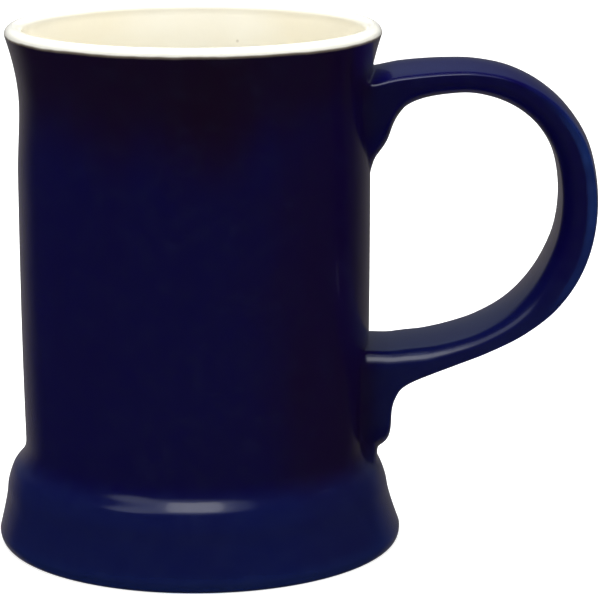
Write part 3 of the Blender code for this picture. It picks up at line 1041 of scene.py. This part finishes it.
def lute_handle(shape, mesh, wall, rows, thinness, flats):
    """Joins the handle's rows and the body into one closed skin."""
    clay = bmesh.new()
    clay.from_mesh(mesh)
    # The thin attribute: thin glaze and a painted reflection along the outer corners
    thin = clay.verts.layers.float.new("thin")
    loose = [vertex for vertex in clay.verts if not vertex.link_faces]
    bmesh.ops.delete(clay, geom=loose, context="VERTS")
    loops = sorted(open_loops(clay), key=lambda loop: -loop[0].co.z)
    if len(loops) != 2:
        raise RuntimeError(f"the body has {len(loops)} openings, and the handle needs 2")
    grown = []
    for row in rows:
        vertices = [clay.verts.new(point) for point in row]
        for vertex, share in zip(vertices, thinness):
            vertex[thin] = share
        grown.append(vertices)
    for row, following in zip(grown, grown[1:]):
        for index, vertex in enumerate(row):
            after = (index + 1) % len(row)
            clay.faces.new((vertex, row[after], following[after], following[index]))
    for loop, row, flat in zip(loops, (grown[0], grown[-1]), flats):
        fill_window(clay, wall, loop, row, flat, shape.steps_around)
    if any(edge.is_boundary for edge in clay.edges):
        raise RuntimeError("the mug's skin isn't closed")
    bmesh.ops.recalc_face_normals(clay, faces=clay.faces)
    bmesh.ops.translate(clay, verts=clay.verts, vec=(axis_place(shape), 0.0, 0.0))
    for face in clay.faces:
        face.smooth = True
    clay.to_mesh(mesh)
    clay.free()
    return mesh


def new_material(name):
    material = bpy.data.materials.new(name)
    material.use_nodes = True
    tree = material.node_tree
    return material, tree, tree.nodes["Principled BSDF"]


def mug_place(tree, shape):
    """Object coordinates with the mug's axis at their middle."""
    coordinates = add_node(tree, "ShaderNodeTexCoord").outputs["Object"]
    shift = (-axis_place(shape), 0.0, 0.0)
    return add_node(tree, "ShaderNodeMapping", None, {"Vector": coordinates, "Location": shift}).outputs[0]


def noise(tree, place, scale, detail, roughness=0.5):
    return add_node(
        tree, "ShaderNodeTexNoise", None,
        {"Vector": place, "Scale": scale, "Detail": detail, "Roughness": roughness}).outputs[0]


def ramp(tree, value, low, high, low_out=0.0, high_out=1.0):
    """A value eased from one range to another."""
    return add_node(
        tree, "ShaderNodeMapRange", {"interpolation_type": "SMOOTHSTEP"},
        {"Value": value, "From Min": low, "From Max": high, "To Min": low_out, "To Max": high_out}).outputs[0]


def mixed(tree, share, first, second):
    """One colour over another by a share."""
    node = add_node(tree, "ShaderNodeMix", {"data_type": "RGBA"})
    feed(tree, node.inputs[0], share)
    for socket, value in ((node.inputs[6], first), (node.inputs[7], second)):
        feed(tree, socket, value if isinstance(value, bpy.types.NodeSocket) else (*value, 1.0))
    return node.outputs[2]


def glaze_surface_group():
    """Shared by the glazes: the skin's ripple as a normal, its mottle, and its pinholes."""
    tree = bpy.data.node_groups.new("glaze surface", "ShaderNodeTree")
    add_sockets(tree, "INPUT", (
        ("Place", "NodeSocketVector"),
        ("Ripple", "NodeSocketFloat"),
        ("Pinholes", "NodeSocketFloat"),
    ))
    add_sockets(tree, "OUTPUT", (
        ("Normal", "NodeSocketVector"),
        ("Mottle", "NodeSocketFloat"),
        ("Pinhole", "NodeSocketFloat"),
    ))
    given = add_node(tree, "NodeGroupInput").outputs
    swell = noise(tree, given["Place"], *SWELL_NOISE)
    peel = noise(tree, given["Place"], *PEEL_NOISE)
    mottle = noise(tree, given["Place"], *MOTTLE_NOISE)
    cells = add_node(tree, "ShaderNodeTexVoronoi", None, {"Vector": given["Place"], "Scale": PINHOLE_SCALE})
    chance = add_node(tree, "ShaderNodeSeparateColor", None, {0: cells.outputs["Color"]}).outputs[0]
    near = ramp(tree, cells.outputs["Distance"], *PINHOLE_RANGE)
    rare = calculate(tree, "LESS_THAN", chance, given["Pinholes"])
    pinhole = times(tree, near, rare)
    height = plus(tree, swell, times(tree, peel, PEEL_SHARE))
    height = calculate(tree, "SUBTRACT", height, times(tree, pinhole, PINHOLE_DEPTH))
    bump = add_node(
        tree, "ShaderNodeBump", None,
        {"Height": height, "Strength": given["Ripple"], "Distance": RIPPLE_DISTANCE})
    end = add_node(tree, "NodeGroupOutput")
    feed(tree, end.inputs["Normal"], bump.outputs[0])
    feed(tree, end.inputs["Mottle"], mottle)
    feed(tree, end.inputs["Pinhole"], pinhole)
    return tree


def glaze_surface(tree, group, place, ripple, pinholes):
    inputs = {"Place": place, "Ripple": ripple, "Pinholes": pinholes}
    return add_node(tree, "ShaderNodeGroup", {"node_tree": group}, inputs).outputs


def finish_glaze(tree, shader, surface, colour, shine, coat, glazes):
    """Gives a glaze its colour, its skin and its clear coat."""
    feed(tree, shader.inputs["Base Color"], colour)
    feed(tree, shader.inputs["Roughness"], ramp(tree, surface["Mottle"], *shine))
    feed(tree, shader.inputs["Normal"], surface["Normal"])
    shader.inputs["Coat Weight"].default_value = coat
    shader.inputs["Coat Roughness"].default_value = glazes.gloss_roughness


def plum_share(tree, shape, place, parts):
    """How far the cobalt turns to plum: in clouds up the neck and towards the handle."""
    stretched = add_node(tree, "ShaderNodeMapping", None, {"Vector": place, "Scale": CLOUD_STRETCH})
    cloud = calculate(tree, "SUBTRACT", noise(tree, stretched.outputs[0], *CLOUD_NOISE), 0.5)
    drift = times(tree, cloud, CLOUD_DRIFT)
    neck = ramp(tree, plus(tree, parts["Z"], drift), *NECK_PLUM)
    aside = ramp(tree, plus(tree, parts["X"], drift), *SIDE_PLUM)
    body_only = ramp(tree, parts["X"], *BODY_ONLY)
    above_foot = ramp(tree, parts["Z"], shape.shoulder_height, shape.foot_height, FOOT_PLUM, 1.0)
    aside = times(tree, aside, body_only, above_foot)
    dark = calculate(tree, "MAXIMUM", times(tree, neck, body_only), aside)
    return plus(tree, dark, times(tree, cloud, CLOUD_PLUM))


def thin_and_painted_light_share(tree, shape, place, parts, mottle):
    """How far the cobalt turns bright: thin on the foot, a painted reflection low on the foot, thin glaze and
    a painted reflection along the grip's corners, and painted light on the lower arm.
    """
    height = parts["Z"]
    foot = ramp(tree, height, shape.foot_height, shape.shoulder_height, 0.0, FOOT_THINNESS)
    # Painted reflection: a lighter band low on the foot
    toe = ramp(tree, height, *TOE_PAINTED_REFLECTION)
    # Thin glaze and a painted reflection along the grip's outer corners
    corner = add_node(tree, "ShaderNodeAttribute", {"attribute_name": "thin"}).outputs["Fac"]
    edge = times(tree, ramp(tree, corner, *CORNER_THINNESS_AND_SHEEN), ramp(tree, parts["X"], *GRIP_OUTWARDS))
    patches = ramp(tree, noise(tree, place, *PATCH_NOISE), *PATCH_THINNESS_AND_SHEEN)
    grip = times(tree, ramp(tree, height, *GRIP_BOTTOM), ramp(tree, height, *GRIP_TOP))
    edge = times(tree, edge, times(tree, patches, plus(tree, grip, OFF_GRIP_THINNESS_AND_SHEEN)))
    # Painted light: the lower arm lightened
    painted_light_on_arm = times(tree, ramp(tree, parts["X"], *LIT_ARM_OUTWARDS), ramp(tree, height, *LIT_ARM_DOWNWARDS))
    where = plus(tree, plus(tree, foot, toe), plus(tree, edge, painted_light_on_arm))
    return plus(tree, where, ramp(tree, mottle, *MOTTLE_THINNESS))


def broken_at_rim(tree, shape, place, height, colour, cream):
    """The colour as it breaks to brown and then to cream under the rim."""
    wander = calculate(tree, "SUBTRACT", noise(tree, place, *BREAK_NOISE), 0.5)
    level = plus(tree, height, times(tree, wander, BREAK_WANDER))
    middle = shape.height - BREAK_DEPTH
    for band, other in ((BROWN_BAND, BROWN), (CREAM_BAND, cream)):
        share = ramp(tree, level, middle + band[0], middle + band[1])
        colour = mixed(tree, share, colour, other)
    return colour


def cobalt_material(shape, glazes, group):
    """Dark glossy cobalt: plum at the neck, bluer where it is thin and where reflections and light are
    painted, broken to cream at the rim.
    """
    material, tree, shader = new_material("cobalt glaze")
    place = mug_place(tree, shape)
    surface = glaze_surface(tree, group, place, COBALT_RIPPLE, COBALT_PINHOLES)
    parts = split(tree, place)
    dark = plum_share(tree, shape, place, parts)
    where = thin_and_painted_light_share(tree, shape, place, parts, surface["Mottle"])
    colour = mixed(tree, dark, glazes.deep_cobalt, glazes.plum)
    # Bright cobalt for thin glaze, for painted reflections and for painted light
    colour = mixed(tree, where, colour, glazes.bright_cobalt)
    colour = broken_at_rim(tree, shape, place, parts["Z"], colour, glazes.cream)
    finish_glaze(tree, shader, surface, colour, COBALT_SHINE, COBALT_COAT, glazes)
    shader.inputs["IOR"].default_value = GLAZE_IOR
    return material


def cream_material(shape, glazes, group):
    """Warm off-white glaze with faint mottle, painted shade on the inside's two sides, a dark speck and a few
    pinholes.
    """
    material, tree, shader = new_material("cream glaze")
    place = mug_place(tree, shape)
    surface = glaze_surface(tree, group, place, CREAM_RIPPLE, CREAM_PINHOLES)
    cloud = noise(tree, place, *CREAM_NOISE)
    parts = split(tree, place)
    # Painted shade: darker, warmer cream on the inside's two sides, below the rim
    sides = ramp(tree, calculate(tree, "ABSOLUTE", parts["X"]), *SHADED_SIDES)
    inside = ramp(tree, parts["Z"], *(shape.height - depth for depth in SHADE_DEPTHS))
    warmth_and_shade = plus(tree, ramp(tree, cloud, *CREAM_CLOUD), times(tree, sides, inside))
    warm_and_shade = tuple(channel * share for channel, share in zip(glazes.cream, WARM_AND_SHADE_SHARES))
    colour = mixed(tree, warmth_and_shade, glazes.cream, warm_and_shade)
    apart = add_node(tree, "ShaderNodeVectorMath", {"operation": "DISTANCE"}, {0: place, 1: SPECK_PLACE})
    speck = ramp(tree, apart.outputs["Value"], *SPECK_RANGE)
    for share in (speck, times(tree, surface["Pinhole"], PINHOLE_SHARE)):
        colour = mixed(tree, share, colour, SPECK_COLOUR)
    finish_glaze(tree, shader, surface, colour, CREAM_SHINE, CREAM_COAT, glazes)
    return material


def clay_material(shape, glazes):
    """Bare fired clay: dry, grainy and a little stained."""
    material, tree, shader = new_material("bare clay")
    place = mug_place(tree, shape)
    grain = noise(tree, place, *GRAIN_NOISE)
    stain = noise(tree, place, *STAIN_NOISE)
    dark = tuple(channel * STAIN_SHARE for channel in glazes.clay)
    colour = mixed(tree, ramp(tree, stain, *STAIN_RANGE), glazes.clay, dark)
    colour = mixed(tree, ramp(tree, grain, *GRAIN_RANGE), colour, GRAIN_COLOUR)
    bump = add_node(
        tree, "ShaderNodeBump", None,
        {"Height": grain, "Strength": GRAIN_STRENGTH, "Distance": GRAIN_DEPTH})
    feed(tree, shader.inputs["Base Color"], colour)
    feed(tree, shader.inputs["Normal"], bump.outputs[0])
    shader.inputs["Roughness"].default_value = CLAY_ROUGHNESS
    return material


def fire_mug(shape, mesh, cobalt, cream, clay):
    """The finished mug: a plain mesh with its coats."""
    mug = bpy.data.objects.new("beer_mug", mesh)
    bpy.context.scene.collection.objects.link(mug)
    firing = mug.modifiers.new("firing", "NODES")
    firing.node_group = firing_tree()
    inputs = {
        "Sag": shape.sag,
        "Sag Scale": SAG_SCALE,
        "Foot Drift": shape.foot_drift,
        "Foot Height": shape.foot_height,
        "Seed": SAG_SEED,
        "Cobalt Glaze": cobalt,
        "Cream Glaze": cream,
        "Bare Clay": clay,
    }
    for name, value in inputs.items():
        set_input(firing, name, value)
    fired = plain_mesh(mug, "beer mug")
    mug.modifiers.clear()
    mug.data = fired
    fired.attributes.remove(fired.attributes["coat"])
    return mug


class MUG_OT_make_mug(bpy.types.Operator):
    """Turn the body, lute the handle to it and glaze the mug"""

    bl_idname = "beer_mug.make_mug"
    bl_label = "Make Mug"

    def execute(self, context):
        shape = context.scene.mug_shape
        glazes = context.scene.mug_glazes
        group = glaze_surface_group()
        cobalt = cobalt_material(shape, glazes, group)
        cream = cream_material(shape, glazes, group)
        clay = clay_material(shape, glazes)
        wall = Wall(shape)
        rows, thinness, flats = handle_rows(shape, wall)
        body = turn_body(shape, flats, wall, cobalt)
        skin = lute_handle(shape, body, wall, rows, thinness, flats)
        mug = fire_mug(shape, skin, cobalt, cream, clay)
        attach(mug, "root")
        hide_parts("mug")
        return {"FINISHED"}


def add_light(name, place, size, strength, glossy=True):
    """A soft rectangular light on the mug that the camera doesn't see."""
    lamp = bpy.data.lights.new(name, "AREA")
    lamp.shape = "RECTANGLE"
    lamp.size, lamp.size_y = size
    lamp.energy = strength
    light = bpy.data.objects.new(name, lamp)
    bpy.context.scene.collection.objects.link(light)
    light.location = place
    light.rotation_euler = (Vector(LAMP_TARGET) - Vector(place)).to_track_quat("-Z", "Y").to_euler()
    light.visible_camera = False
    light.visible_glossy = glossy


def floor_material():
    material, tree, shader = new_material("pale floor")
    shader.inputs["Base Color"].default_value = FLOOR_COLOUR
    shader.inputs["Roughness"].default_value = FLOOR_ROUGHNESS
    shader.inputs["Specular IOR Level"].default_value = 0.0
    shader.inputs["Emission Color"].default_value = (*WHITE, 1.0)
    seen = add_node(tree, "ShaderNodeLightPath").outputs
    feed(tree, shader.inputs["Emission Strength"], times(tree, seen["Is Camera Ray"], FLOOR_GLOW))
    return material


def add_floor():
    mesh = bpy.data.meshes.new("floor")
    corners = [(x * FLOOR_HALF, y * FLOOR_HALF, 0) for x, y in ((-1, -1), (1, -1), (1, 1), (-1, 1))]
    mesh.from_pydata(corners, [], [(0, 1, 2, 3)])
    mesh.materials.append(floor_material())
    floor = bpy.data.objects.new("floor", mesh)
    bpy.context.scene.collection.objects.link(floor)
    floor.visible_glossy = False


def add_world():
    """Pale to the eye; in what shines, a dark room with a pale back and two soft lights high in front."""
    world = bpy.data.worlds.new("studio")
    world.use_nodes = True
    tree = world.node_tree
    background = tree.nodes["Background"]
    direction = add_node(tree, "ShaderNodeTexCoord").outputs["Generated"]
    parts = split(tree, direction)
    away = off_axis(tree, parts)
    leftward = ramp(tree, calculate(tree, "DIVIDE", parts["X"], away), *BACK_LEFTWARD)
    backward = calculate(tree, "DIVIDE", parts["Y"], away)
    back = times(tree, ramp(tree, backward, *BACK_BEHIND), leftward, ramp(tree, parts["Z"], *BACK_TOP))
    tint = mixed(tree, ramp(tree, parts["Z"], *LEVEL_HEIGHTS), LOW_TINT, LEVEL_TINT)
    tint = mixed(tree, ramp(tree, parts["Z"], *HIGH_HEIGHTS), tint, HIGH_TINT)
    room = mixed(tree, back, DARK_ROOM, tint)
    for way, fade, light in SOFT_LIGHTS:
        towards = add_node(tree, "ShaderNodeVectorMath", {"operation": "DOT_PRODUCT"}, {0: direction, 1: way})
        room = mixed(tree, ramp(tree, towards.outputs["Value"], *fade), room, light)
    seen = add_node(tree, "ShaderNodeLightPath").outputs
    pale = mixed(tree, seen["Is Diffuse Ray"], WHITE, DIFFUSE_LIGHT)
    soft = mixed(tree, seen["Is Glossy Ray"], pale, room)
    feed(tree, background.inputs["Color"], soft)
    background.inputs["Strength"].default_value = 1.0
    bpy.context.scene.world = world


def add_camera():
    lens = bpy.data.cameras.new("camera")
    lens.sensor_width = SENSOR_WIDTH
    lens.lens = LENS
    camera = bpy.data.objects.new("camera", lens)
    bpy.context.scene.collection.objects.link(camera)
    camera.location = CAMERA_PLACE
    camera.rotation_euler = (math.radians(90 - CAMERA_DOWN), 0.0, math.radians(CAMERA_ASIDE))
    bpy.context.scene.camera = camera


class MUG_OT_make_stage(bpy.types.Operator):
    """Set the mug on a pale floor with soft studio light and a camera"""

    bl_idname = "beer_mug.make_stage"
    bl_label = "Make Stage"

    def execute(self, context):
        add_floor()
        add_world()
        add_light("overhead", OVERHEAD_PLACE, OVERHEAD_SIZE, OVERHEAD_POWER, glossy=False)
        add_light("front softbox", SOFTBOX_PLACE, SOFTBOX_SIZE, SOFTBOX_POWER)
        add_camera()
        context.scene.view_settings.view_transform = "Standard"
        return {"FINISHED"}


class MUG_PT_sidebar(bpy.types.Panel):
    bl_idname = "MUG_PT_sidebar"
    bl_label = "Beer Mug"
    bl_space_type = "VIEW_3D"
    bl_region_type = "UI"
    bl_category = "Beer Mug"

    def draw(self, context):
        column = self.layout.column()
        for group in (context.scene.mug_shape, context.scene.mug_glazes):
            for name in group.__annotations__:
                column.prop(group, name)
        column.operator(MUG_OT_make_mug.bl_idname)
        column.operator(MUG_OT_make_stage.bl_idname)


CLASSES = (MugShape, MugGlazes, MUG_OT_make_mug, MUG_OT_make_stage, MUG_PT_sidebar)


def register():
    for made in CLASSES:
        bpy.utils.register_class(made)
    bpy.types.Scene.mug_shape = PointerProperty(type=MugShape)
    bpy.types.Scene.mug_glazes = PointerProperty(type=MugGlazes)


def unregister():
    del bpy.types.Scene.mug_glazes
    del bpy.types.Scene.mug_shape
    for made in reversed(CLASSES):
        bpy.utils.unregister_class(made)


def main():
    register()
    bpy.ops.beer_mug.make_mug()
    bpy.ops.beer_mug.make_stage()


if __name__ == "__main__":
    main()
